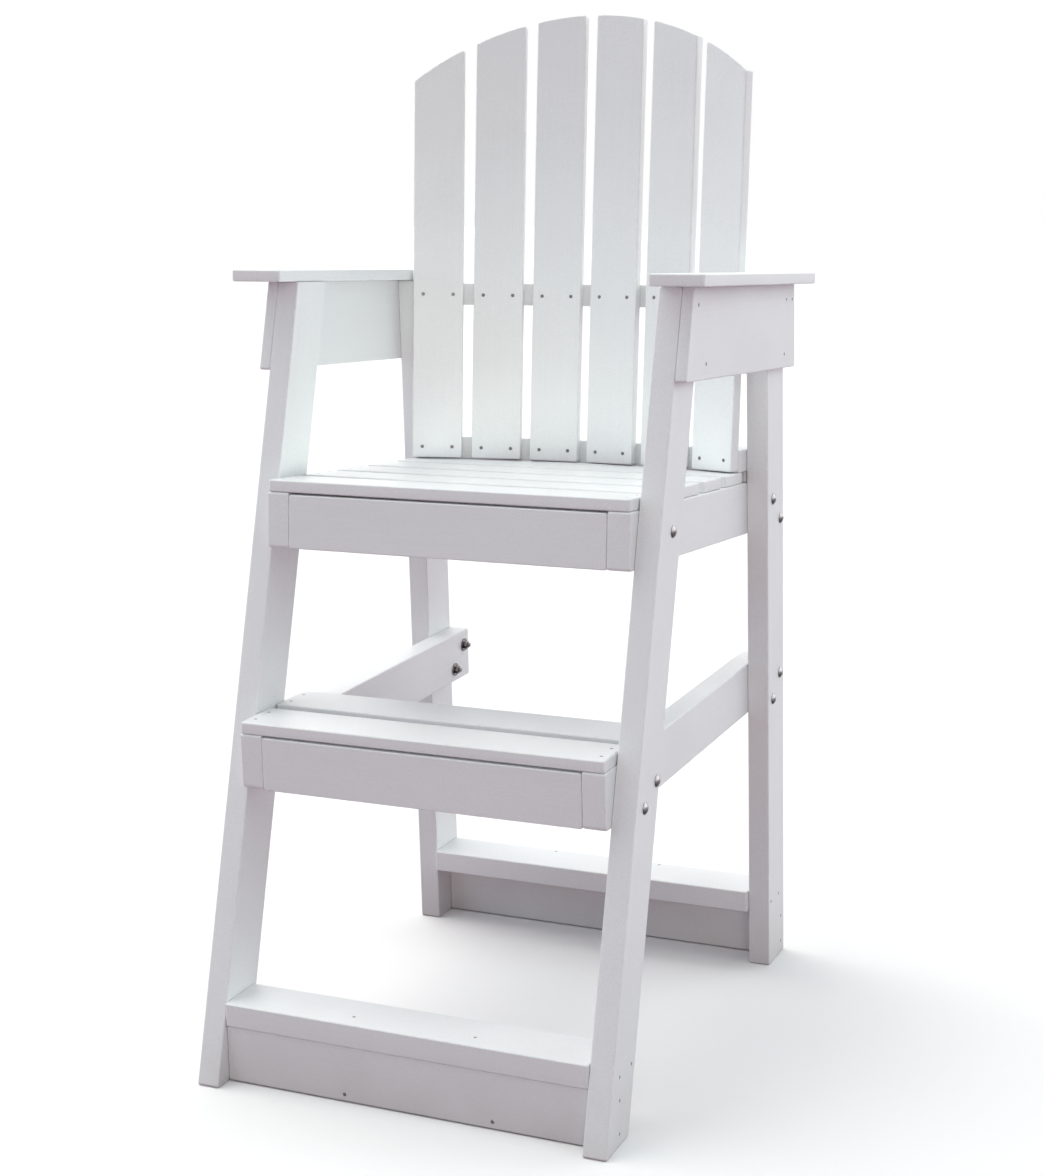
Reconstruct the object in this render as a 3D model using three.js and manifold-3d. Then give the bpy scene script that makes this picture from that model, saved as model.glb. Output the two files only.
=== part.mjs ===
// Lifeguard chair: a tall, raked chair of white moulded planks, bolted and screwed together.
// Lengths are millimetres. X runs across the chair, Y from the front to the rear, Z up.
// While it is built, the front edge of the front feet is Y = 0. At the end the chair is moved
// along Y so that the origin is on the floor, in the middle of the space that the chair takes.

import * as THREE from 'three';
import { mergeVertices } from 'three/addons/utils/BufferGeometryUtils.js';
import Module from 'manifold-3d';

const wasm = await Module();
wasm.setup();

// Plank stock
const thickPlank = 38;
const thinPlank = 19;
const plankWidth = 89;
const edgeRadius = 2.5;
const cornerRadius = 4;
const bevelSteps = 2;
const cornerSteps = 2;
const weldDistance = 0.001;

// Fits between pieces
const seatingGap = 0.3;
const boardEndClearance = 1.5;
const railEndInset = 1.3;
const boltHoleClearance = 1;

// Legs
const clearWidth = 618;
const frontLegRake = THREE.MathUtils.degToRad(15.7);
const rearLegLean = THREE.MathUtils.degToRad(-0.9);
const rearFootSetback = 787;

// Arms and side panels
const armUndersideHeight = 1242.5;
const armInnerInset = 2.8;
const armSlope = THREE.MathUtils.degToRad(3.43);
const armLead = 55.7;
const armRearLap = 12.3;
const panelHeight = 142;
const panelRearLap = 5;

// Seat; a lead is how far an edge stands ahead of the legs' front edge
const seatHeight = 935.5;
const seatLead = 36.5;
const seatSlope = THREE.MathUtils.degToRad(4.35);
const seatBoardCount = 6;
const seatBoardRearLap = 4.9;
const seatRailNoseRadius = 6;
const apronTopGap = 3;

// Footrest
const footrestHeight = 568;
const footrestLead = 48.7;
const footrestSlope = THREE.MathUtils.degToRad(-0.46);
const footrestBoardCount = 2;
const footrestBoardGap = 21.4;
const footrestRailNoseRadius = 8;

// Bottom step at the front and base shelf at the rear
const stepHeight = 131;
const stepLead = 6.8;
const stepRiserInset = 3;
const baseShelfHeight = 136.5;
const baseShelfLead = 10.5;
const riserFloorGap = 1.5;

// Back: slats on an arc, concave towards the sitter, fanned a little and cut to one arch
const slatArcRadius = 699;
const backSideClearance = 8.5;
const leastSlatGap = 12;
const slatFan = THREE.MathUtils.degToRad(0.23);
const backLean = THREE.MathUtils.degToRad(5.72);
const backFootInset = 7.2;
const slatFootGap = 1.5;
const slatHeight = 777.6;
const archRadius = 480;
const archSteps = 6;
const archBlendRadius = 150;

// Cross rails behind the slats
const crossRailDepth = 126;
const lowerCrossRailWaist = 62.7;
const upperCrossRailWaist = 31.5;
const upperCrossRailDrop = 6;
const cutterReach = 200;

// Bolts and nuts
const boltDiameter = 8;
const boltHeadDiameter = 19;
const boltHeadHeight = 5;
const boltSegments = 16;
const domeSteps = 3;
const washerDiameter = 24;
const washerThickness = 2;
const nutSides = 6;
const nutAcrossFlats = 13;
const nutHeight = 6.5;
const threadProtrusion = 4;
const nutSink = 0.1;

// Where the bolts cross leg and rail: share of the leg's depth, share of the rail's height
const seatFrontBoltShares = [[0.577, 0.385]];
const seatRearBoltShares = [[0.317, 0.325], [0.793, 0.738]];
const footrestFrontBoltShares = [[0.852, 0.44], [0.382, 0.743]];
const footrestRearBoltShares = [[0.74, 0.317], [0.285, 0.745]];

// Sizes that follow from the ones above
const halfClear = clearWidth / 2;
const deckBoardLength = clearWidth - 2 * boardEndClearance;
const crossPieceLength = clearWidth - 2 * seatingGap;
const apronLength = clearWidth - 2 * thickPlank - 2 * seatingGap;
const cutterHeight = 2 * slatHeight;
const boltHoleRadius = (boltDiameter + boltHoleClearance) / 2;
const clampedDepth = 2 * thickPlank;
const railTop = -thinPlank - seatingGap;

// The back's arc: turn of the outermost slats, whose outer edges stay clear of the legs
const slatReach = Math.hypot(slatArcRadius, plankWidth / 2);
const outerSlatTurn = Math.asin((halfClear - backSideClearance) / slatReach)
  - Math.atan2(plankWidth / 2, slatArcRadius);
const slatSpan = 2 * outerSlatTurn * slatArcRadius + plankWidth;
const slatCount = Math.floor((slatSpan + leastSlatGap) / (plankWidth + leastSlatGap));
const slatArcStep = (2 * outerSlatTurn) / (slatCount - 1);

// Materials
const whitePlank = new THREE.MeshStandardMaterial({ color: 0xe9edee, roughness: 0.55, metalness: 0 });
const steel = new THREE.MeshStandardMaterial({ color: 0x9a9a98, roughness: 0.35, metalness: 1 });

// Mesh and solid conversions
function solidOf(geometry) {
  const bare = geometry.clone();
  bare.deleteAttribute('normal');
  bare.deleteAttribute('uv');
  const welded = mergeVertices(bare, weldDistance);
  const index = welded.index.array;
  const kept = [];
  for (let i = 0; i < index.length; i += 3) {
    const [a, b, c] = [index[i], index[i + 1], index[i + 2]];
    if (a !== b && b !== c && a !== c) {
      kept.push(a, b, c);
    }
  }
  const vertProperties = new Float32Array(welded.attributes.position.array);
  const triVerts = new Uint32Array(kept);
  return new wasm.Manifold(new wasm.Mesh({ numProp: 3, vertProperties, triVerts }));
}

function geometryOf(solid) {
  const mesh = solid.getMesh();
  const geometry = new THREE.BufferGeometry();
  geometry.setAttribute('position', new THREE.BufferAttribute(new Float32Array(mesh.vertProperties), 3));
  geometry.setIndex(new THREE.BufferAttribute(new Uint32Array(mesh.triVerts), 1));
  geometry.computeVertexNormals();
  return geometry;
}

function meshOf(name, geometry, material) {
  const mesh = new THREE.Mesh(geometry, material);
  mesh.name = name;
  return mesh;
}

// Outline, counter-clockwise, with round corners; a corner is [u, v] or [u, v, radius]
function easedShape(corners) {
  const shape = new THREE.Shape();
  corners.forEach(([u, v, radius = cornerRadius], i) => {
    const here = new THREE.Vector2(u, v);
    const [beforeU, beforeV] = corners[(i + corners.length - 1) % corners.length];
    const [afterU, afterV] = corners[(i + 1) % corners.length];
    const arrive = here.clone().sub(new THREE.Vector2(beforeU, beforeV)).normalize();
    const leave = new THREE.Vector2(afterU, afterV).sub(here).normalize();
    const turn = Math.atan2(arrive.cross(leave), arrive.dot(leave));
    const start = here.clone().addScaledVector(arrive, -radius * Math.tan(turn / 2));
    const centre = start.addScaledVector(new THREE.Vector2(-arrive.y, arrive.x), radius);
    const from = Math.atan2(-arrive.x, arrive.y);
    shape.absarc(centre.x, centre.y, radius, from, from + turn, false);
  });
  shape.closePath();
  return shape;
}

// Flat piece lying in X-Y with eased edges, from Z = 0 up to its thickness
function easedPlate(shape, thickness) {
  const geometry = new THREE.ExtrudeGeometry(shape, {
    depth: thickness - 2 * edgeRadius,
    bevelEnabled: true,
    bevelThickness: edgeRadius,
    bevelSize: edgeRadius,
    bevelOffset: -edgeRadius,
    bevelSegments: bevelSteps,
    curveSegments: cornerSteps,
  });
  return geometry.translate(0, 0, edgeRadius);
}

// Plank seen from the side: corners are [y, z], the thickness runs along X from zero
function sidePlank(corners, thickness) {
  return easedPlate(easedShape(corners), thickness).rotateX(Math.PI / 2).rotateZ(Math.PI / 2);
}

// Plank seen from above: runs along X, its front edge at Y = 0 and its top at Z = 0
function deckPlank(length, thickness) {
  const half = length / 2;
  const corners = [[-half, 0], [half, 0], [half, plankWidth], [-half, plankWidth]];
  return easedPlate(easedShape(corners), thickness).translate(0, 0, -thickness);
}

// Plank seen from the front: runs along X, its front at Y = 0 and its bottom at Z = 0
function facePlank(length, thickness, height = plankWidth) {
  const half = length / 2;
  const corners = [[-half, 0], [half, 0], [half, height], [-half, height]];
  return easedPlate(easedShape(corners), thickness).rotateX(Math.PI / 2).translate(0, thickness, 0);
}

// Straight cylinder along X, centred on the origin
function crossCylinder(radius, length) {
  return new THREE.CylinderGeometry(radius, radius, length, boltSegments).rotateZ(Math.PI / 2);
}

function drilled(geometry, places) {
  let solid = solidOf(geometry);
  for (const [y, z] of places) {
    const drill = crossCylinder(boltHoleRadius, cutterReach).translate(0, y, z);
    solid = solid.subtract(solidOf(drill));
  }
  return geometryOf(solid);
}

// Legs in the side view: Y of the front edge at the floor, Y gained per Z, depth along Y
const frontLegLine = {
  start: 0,
  lean: Math.tan(frontLegRake),
  depth: plankWidth / Math.cos(frontLegRake),
};
const rearLegLine = {
  start: rearFootSetback,
  lean: Math.tan(rearLegLean),
  depth: plankWidth / Math.cos(rearLegLean),
};

// Front and rear edge of a leg at a height
function legFront(leg, z) {
  return leg.start + leg.lean * z;
}

function legRear(leg, z) {
  return legFront(leg, z) + leg.depth;
}

// Sloping lines in the side view: Y and Z of the front end, and the slope down to the rear
const seatLine = {
  front: legFront(frontLegLine, seatHeight) - seatLead,
  height: seatHeight,
  slope: seatSlope,
};
const footrestLine = {
  front: legFront(frontLegLine, footrestHeight) - footrestLead,
  height: footrestHeight,
  slope: footrestSlope,
};
const armLine = {
  front: legFront(frontLegLine, armUndersideHeight) - armLead,
  height: armUndersideHeight,
  slope: armSlope,
};

// Height of a sloping line at a place along Y
function lineHeight(line, y) {
  return line.height - Math.tan(line.slope) * (y - line.front);
}

// Length along a sloping line from its front end to the rear edge of the rear legs
function lengthToRear(line) {
  const height = lineHeight(line, legRear(rearLegLine, line.height));
  return (legRear(rearLegLine, height) - line.front) / Math.cos(line.slope);
}

// Point where the line Y = start + lean * Z meets the line a drop below the arms' underside
function underArm(start, lean, drop) {
  const slope = Math.tan(armLine.slope);
  const level = armLine.height + armLine.front * slope - drop;
  const z = (level - slope * start) / (1 + slope * lean);
  return [start + lean * z, z];
}

// Place of a bolt in the side view, from the leg's edge line and the rail's top line
function boltPlace(leg, rail, [depthShare, heightShare]) {
  const slope = Math.tan(rail.slope);
  const across = leg.start + depthShare * leg.depth;
  const below = rail.height - thinPlank - heightShare * plankWidth;
  const y = (across + leg.lean * (below + slope * rail.front)) / (1 + leg.lean * slope);
  return [y, below - slope * (y - rail.front)];
}

const boltPlaces = {
  seat_front: seatFrontBoltShares.map((shares) => boltPlace(frontLegLine, seatLine, shares)),
  seat_rear: seatRearBoltShares.map((shares) => boltPlace(rearLegLine, seatLine, shares)),
  footrest_front: footrestFrontBoltShares.map((shares) => boltPlace(frontLegLine, footrestLine, shares)),
  footrest_rear: footrestRearBoltShares.map((shares) => boltPlace(rearLegLine, footrestLine, shares)),
};

// Legs, arms and side panels
function legGeometry(line, places) {
  const corners = [
    [legFront(line, 0), 0],
    [legRear(line, 0), 0],
    underArm(legRear(line, 0), line.lean, seatingGap),
    underArm(legFront(line, 0), line.lean, seatingGap),
  ];
  return drilled(sidePlank(corners, thickPlank), places);
}

function panelGeometry() {
  const rearStart = legRear(rearLegLine, 0) + panelRearLap;
  const corners = [
    underArm(frontLegLine.start, frontLegLine.lean, panelHeight),
    underArm(rearStart, rearLegLine.lean, panelHeight),
    underArm(rearStart, rearLegLine.lean, seatingGap),
    underArm(frontLegLine.start, frontLegLine.lean, seatingGap),
  ];
  return sidePlank(corners, thinPlank);
}

function armGeometry() {
  const length = lengthToRear(armLine) + armRearLap;
  const corners = [[0, 0], [plankWidth, 0], [plankWidth, length], [0, length]];
  return easedPlate(easedShape(corners), thinPlank);
}

// Rail of the seat or footrest: top edge at Z = 0, square front end, its lower front corner rounded
function railGeometry(length, noseRadius, places) {
  const corners = [[0, -plankWidth, noseRadius], [length, -plankWidth], [length, 0], [0, 0]];
  return drilled(sidePlank(corners, thickPlank), places);
}

// Slat seen from the front, bottom at Z = 0, its top edge cut to the arch in the back's frame
function slatGeometry(place) {
  const half = plankWidth / 2;
  const arc = place * slatArcStep;
  const archCentre = slatHeight - archRadius;
  const topAt = (u) => {
    const across = slatArcRadius * Math.sin(arc) + u * Math.cos(arc) + slatHeight * place * slatFan;
    return archCentre + Math.sqrt(archRadius ** 2 - across ** 2);
  };
  const corners = [[-half, 0], [half, 0]];
  for (let step = 0; step <= archSteps; step += 1) {
    const u = half - (plankWidth * step) / archSteps;
    const inside = step > 0 && step < archSteps;
    corners.push(inside ? [u, topAt(u), archBlendRadius] : [u, topAt(u)]);
  }
  return easedPlate(easedShape(corners), thinPlank).rotateX(Math.PI / 2).translate(0, thinPlank, 0);
}

// Frame of one slat inside the back's frame, origin at the middle of its foot on the front face
function slatFrame(place) {
  const arc = place * slatArcStep;
  const frame = new THREE.Group();
  frame.position.set(slatArcRadius * Math.sin(arc), slatArcRadius * (Math.cos(arc) - 1), 0);
  frame.rotation.order = 'ZYX';
  frame.rotation.set(0, place * slatFan, -arc);
  return frame;
}

// Frame that slopes down to the rear, at a point in the middle plane
function slopedFrame(y, z, slope) {
  const frame = new THREE.Group();
  frame.position.set(0, y, z);
  frame.rotation.x = -slope;
  return frame;
}

const sides = [['left', -1], ['right', 1]];

const chair = new THREE.Group();
chair.name = 'lifeguard_chair';

// Side frames
for (const [side, sign] of sides) {
  const inner = sign > 0 ? halfClear : -halfClear - thickPlank;
  const frontPlaces = [...boltPlaces.seat_front, ...boltPlaces.footrest_front];
  const frontLeg = meshOf(`front_leg_${side}`, legGeometry(frontLegLine, frontPlaces), whitePlank);
  frontLeg.position.x = inner;
  const rearPlaces = [...boltPlaces.seat_rear, ...boltPlaces.footrest_rear];
  const rearLeg = meshOf(`rear_leg_${side}`, legGeometry(rearLegLine, rearPlaces), whitePlank);
  rearLeg.position.x = inner;
  const panel = meshOf(`side_panel_${side}`, panelGeometry(), whitePlank);
  panel.position.x = sign > 0 ? halfClear + thickPlank : -halfClear - thickPlank - thinPlank;
  chair.add(frontLeg, rearLeg, panel);

  const armFrame = slopedFrame(armLine.front, armLine.height, armLine.slope);
  const arm = meshOf(`arm_${side}`, armGeometry(), whitePlank);
  arm.position.x = sign > 0 ? halfClear + armInnerInset : -halfClear - armInnerInset - plankWidth;
  armFrame.add(arm);
  chair.add(armFrame);
}

// Seat and footrest: two rails, an apron between their front ends and a deck of boards
function deckUnit(name, line, { boardCount, boardPitch, noseRadius, places }) {
  const frame = slopedFrame(line.front, line.height, line.slope);
  frame.updateMatrixWorld(true);
  const railPlaces = places.map(([y, z]) => {
    const local = frame.worldToLocal(new THREE.Vector3(0, y, z));
    return [local.y, local.z - railTop];
  });
  for (const [side, sign] of sides) {
    const geometry = railGeometry(lengthToRear(line) - railEndInset, noseRadius, railPlaces);
    const rail = meshOf(`${name}_rail_${side}`, geometry, whitePlank);
    rail.position.set(sign > 0 ? halfClear - thickPlank : -halfClear, 0, railTop);
    frame.add(rail);
  }
  const apronGeometry = facePlank(apronLength, thickPlank, plankWidth - apronTopGap);
  const apron = meshOf(`${name}_apron`, apronGeometry, whitePlank);
  apron.position.z = railTop - plankWidth;
  frame.add(apron);
  for (let i = 0; i < boardCount; i += 1) {
    const board = meshOf(`${name}_board_${i + 1}`, deckPlank(deckBoardLength, thinPlank), whitePlank);
    board.position.y = i * boardPitch;
    frame.add(board);
  }
  return frame;
}

const seatDepth = lengthToRear(seatLine) - railEndInset + seatBoardRearLap;
const seat = deckUnit('seat', seatLine, {
  boardCount: seatBoardCount,
  boardPitch: (seatDepth - plankWidth) / (seatBoardCount - 1),
  noseRadius: seatRailNoseRadius,
  places: [...boltPlaces.seat_front, ...boltPlaces.seat_rear],
});
const footrest = deckUnit('footrest', footrestLine, {
  boardCount: footrestBoardCount,
  boardPitch: plankWidth + footrestBoardGap,
  noseRadius: footrestRailNoseRadius,
  places: [...boltPlaces.footrest_front, ...boltPlaces.footrest_rear],
});
chair.add(seat, footrest);

// Bottom step and base shelf: a thick tread on a riser that stands on edge between the legs
function treadUnit(name, treadFront, treadHeight, riserFront) {
  const tread = meshOf(`${name}_tread`, deckPlank(crossPieceLength, thickPlank), whitePlank);
  tread.position.set(0, treadFront, treadHeight);
  const riserHeight = treadHeight - thickPlank - seatingGap - riserFloorGap;
  const riser = meshOf(`${name}_riser`, facePlank(crossPieceLength, thickPlank, riserHeight), whitePlank);
  riser.position.set(0, riserFront, riserFloorGap);
  return [tread, riser];
}

const stepFront = legFront(frontLegLine, stepHeight) - stepLead;
const shelfFront = legFront(rearLegLine, 0) - baseShelfLead;
const shelfRiserFront = legRear(rearLegLine, 0) - thickPlank;
chair.add(...treadUnit('step', stepFront, stepHeight, stepFront + stepRiserInset));
chair.add(...treadUnit('base_shelf', shelfFront, baseShelfHeight, shelfRiserFront));

// Back slats
const backFootFront = legFront(rearLegLine, seatHeight) + backFootInset;
const backFootHeight = lineHeight(seatLine, backFootFront) + slatFootGap;
const back = slopedFrame(backFootFront, backFootHeight, backLean);
const slatPlaces = Array.from({ length: slatCount }, (_, i) => i - (slatCount - 1) / 2);
slatPlaces.forEach((place, i) => {
  const frame = slatFrame(place);
  frame.add(meshOf(`back_slat_${i + 1}`, slatGeometry(place), whitePlank));
  back.add(frame);
});
chair.add(back);
chair.updateMatrixWorld(true);

// Space in front of the rear faces of all the slats, used to cut the facets that the slats sit on
function slatSpace(toLocal) {
  const boxes = back.children.map((frame) => {
    const box = new THREE.BoxGeometry(2 * clearWidth, clearWidth, cutterHeight);
    box.translate(0, thinPlank + seatingGap - clearWidth / 2, 0);
    return solidOf(box.applyMatrix4(frame.matrixWorld).applyMatrix4(toLocal));
  });
  return boxes.reduce((space, box) => space.intersect(box));
}

// Cross rail between the rear legs: its rear edge straight, its front edge cut in facets on the slats
function crossRail(name, rearEdge, underside, slope) {
  const frame = slopedFrame(rearEdge, underside, slope);
  frame.updateMatrixWorld(true);
  const half = crossPieceLength / 2;
  const corners = [[-half, -crossRailDepth], [half, -crossRailDepth], [half, 0], [-half, 0]];
  const plank = solidOf(easedPlate(easedShape(corners), thickPlank));
  const solid = plank.subtract(slatSpace(frame.matrixWorld.clone().invert()));
  frame.add(meshOf(name, geometryOf(solid), whitePlank));
  return frame;
}

// Rear face of the middle of the back at a height
function backRear(z) {
  const front = backFootFront + (z - backFootHeight) * Math.tan(backLean);
  return front + thinPlank / Math.cos(backLean);
}

// The lower cross rail lies on the rear seat boards, the upper one hangs just under the arms' line
const lowerRear = backRear(backFootHeight) + lowerCrossRailWaist;
const lowerUnderside = lineHeight(seatLine, lowerRear) + seatingGap;
const upperRailLevel = lineHeight(armLine, legRear(rearLegLine, armUndersideHeight));
const upperRear = backRear(upperRailLevel) + upperCrossRailWaist;
const upperUnderside = lineHeight(armLine, upperRear) - upperCrossRailDrop - thickPlank;
chair.add(crossRail('cross_rail_lower', lowerRear, lowerUnderside, seatSlope));
chair.add(crossRail('cross_rail_upper', upperRear, upperUnderside, armSlope));

// Bolt set along X: carriage bolt with its domed head outside the leg, washer and nut inside the rail
function boltSetGeometry() {
  const clamped = clampedDepth + 2 * seatingGap;
  const nutFace = clamped + washerThickness;
  const end = nutFace + nutHeight + threadProtrusion;
  const headRadius = boltHeadDiameter / 2;
  const outline = [];
  for (let step = 0; step <= domeSteps; step += 1) {
    const turn = (Math.PI / 2) * (step / domeSteps);
    outline.push(new THREE.Vector2(headRadius * Math.sin(turn), -boltHeadHeight * Math.cos(turn)));
  }
  outline.push(new THREE.Vector2(boltDiameter / 2, 0));
  outline.push(new THREE.Vector2(boltDiameter / 2, clamped));
  outline.push(new THREE.Vector2(washerDiameter / 2, clamped));
  outline.push(new THREE.Vector2(washerDiameter / 2, nutFace));
  outline.push(new THREE.Vector2(boltDiameter / 2, nutFace));
  outline.push(new THREE.Vector2(boltDiameter / 2, end));
  outline.push(new THREE.Vector2(0, end));
  const turned = new THREE.LatheGeometry(outline, boltSegments);
  const nutCorner = nutAcrossFlats / 2 / Math.cos(Math.PI / nutSides);
  const nut = new THREE.CylinderGeometry(nutCorner, nutCorner, nutHeight + nutSink, nutSides);
  nut.translate(0, nutFace + (nutHeight - nutSink) / 2, 0);
  const joined = geometryOf(solidOf(turned).add(solidOf(nut)));
  return joined.rotateZ(Math.PI / 2);
}

for (const [side, sign] of sides) {
  for (const [joint, places] of Object.entries(boltPlaces)) {
    places.forEach(([y, z], i) => {
      const bolt = meshOf(`bolt_${joint}_${side}_${i + 1}`, boltSetGeometry(), steel);
      bolt.position.set(sign * (halfClear + thickPlank + seatingGap), y, z);
      if (sign < 0) {
        bolt.rotation.z = Math.PI;
      }
      chair.add(bolt);
    });
  }
}

const extent = new THREE.Box3().setFromObject(chair, true);
chair.position.y = -(extent.min.y + extent.max.y) / 2;

export default chair;
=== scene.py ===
"""Looks of a lifeguard chair: white plastic lumber, screwed and bolted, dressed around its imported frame.

Lengths are metres in the frame's axes: X across the chair, Y from the front to the rear, Z up.
The floor is Z = 0, and the origin is in the middle of the space that the chair takes.
"""

from __future__ import annotations

import logging
import math
import random
from dataclasses import dataclass, field
from enum import Enum
from functools import cached_property

import bmesh
import bpy
import numpy as np
from bmesh.types import BMesh, BMVert
from bpy.types import Material, Mesh, Node, NodeSocket, NodeTree, Object
from mathutils import Matrix, Vector
from mathutils.bvhtree import BVHTree


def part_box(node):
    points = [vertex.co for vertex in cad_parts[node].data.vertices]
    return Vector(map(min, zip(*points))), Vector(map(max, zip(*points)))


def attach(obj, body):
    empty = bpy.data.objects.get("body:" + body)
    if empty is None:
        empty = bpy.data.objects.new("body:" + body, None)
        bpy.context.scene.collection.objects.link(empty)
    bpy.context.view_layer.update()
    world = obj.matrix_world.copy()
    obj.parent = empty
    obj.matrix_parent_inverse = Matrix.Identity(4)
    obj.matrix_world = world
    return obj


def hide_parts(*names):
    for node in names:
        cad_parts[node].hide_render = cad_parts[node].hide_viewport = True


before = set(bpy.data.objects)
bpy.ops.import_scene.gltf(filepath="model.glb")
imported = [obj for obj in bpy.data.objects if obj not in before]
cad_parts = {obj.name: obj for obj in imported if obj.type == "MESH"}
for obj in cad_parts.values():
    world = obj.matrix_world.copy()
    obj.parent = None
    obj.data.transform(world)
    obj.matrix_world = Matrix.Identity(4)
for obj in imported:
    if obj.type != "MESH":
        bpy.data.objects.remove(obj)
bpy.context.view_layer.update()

MM = 0.001
SEED = 7
ROOT = "root"
# Socket numbers of a Mix node that mixes colours, and of a Random Value node that draws a float.
MIX_A, MIX_B, MIX_OUT = 6, 7, 2
RANDOM_MIN, RANDOM_MAX, RANDOM_OUT = 2, 3, 1
# The socket that carries each type of value.
SOCKET_KINDS = {float: "NodeSocketFloat", int: "NodeSocketInt", Object: "NodeSocketObject"}
# How far outside a plank the search for its face starts.
REACH = 0.5
# Points nearer than this are one point, and faces that turn by fewer degrees than this are one face.
WELD = 0.01 * MM
FLATNESS = 0.2
# A plank's flats each have this share of its surface or more. An eased edge is narrower than this, longer
# than this, and turns from every flat by more than this many degrees.
MAIN_SHARE = 0.02
EASED_WIDTH = 2.4 * MM
EASED_LENGTH = 10 * MM
EASED_TURN = 3
# The cosine between a normal and the plank's length is above this at an end. The cosine between the normals
# of two square faces is below this.
END_COSINE = 0.85
SQUARE_COSINE = 0.02
# Edges of planks that turn by more degrees than this stay sharp.
PLANK_CREASE = 50
# How far apart the patterns of two planks may start.
GRAIN_SHIFT = 10.0
UP = Vector((0.0, 0.0, 1.0))

log = logging.getLogger("chair")


class Side(Enum):
    """The two sides of the chair; the value is the sign of X."""

    LEFT = -1
    RIGHT = 1

    @property
    def word(self) -> str:
        """The side's word in the names of nodes."""
        return self.name.lower()


class PlankFace(Enum):
    """The material slots of a plank."""

    MOULDED = 0
    SAWN = 1


class ScrewState(Enum):
    """What the weather and the feet have left of a screw's shine."""

    WEATHERED = "weathered"
    DUSTED = "dusted"


def linear(colour: str) -> tuple[float, float, float, float]:
    """Turn an sRGB hex colour into linear light, by the curve of the sRGB standard.

    Args:
        colour: The colour as "#rrggbb".

    Returns:
        Red, green, blue and an alpha of 1.
    """
    parts = [int(colour[i : i + 2], 16) / 255 for i in (1, 3, 5)]
    light = [p / 12.92 if p <= 0.04045 else ((p + 0.055) / 1.055) ** 2.4 for p in parts]
    return (*light, 1.0)


def add_node(
    tree: NodeTree,
    kind: str,
    settings: dict[str, object] | None = None,
    inputs: dict[str | int, object] | None = None,
) -> Node:
    """Add a node with its settings and its inputs.

    Args:
        tree: The node tree that gets the node.
        kind: The node's type.
        settings: Property names and their values.
        inputs: Input names or numbers, each with a value or with the output that feeds it.

    Returns:
        The new node.
    """
    node = tree.nodes.new(kind)
    for name, value in (settings or {}).items():
        setattr(node, name, value)
    for name, value in (inputs or {}).items():
        if isinstance(value, NodeSocket):
            tree.links.new(value, node.inputs[name])
        else:
            node.inputs[name].default_value = value
    return node


def new_object(name: str, data: bpy.types.ID) -> Object:
    """Put a new object into the scene.

    Args:
        name: The object's name.
        data: Its mesh, lamp or camera.

    Returns:
        The object.
    """
    made = bpy.data.objects.new(name, data)
    bpy.context.scene.collection.objects.link(made)
    return made


def new_surface(name: str) -> tuple[Material, NodeTree]:
    """Start a material with an empty node tree.

    Args:
        name: The material's name.

    Returns:
        The material and its tree.
    """
    material = bpy.data.materials.new(name)
    material.use_nodes = True
    material.node_tree.nodes.clear()
    return material, material.node_tree


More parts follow.
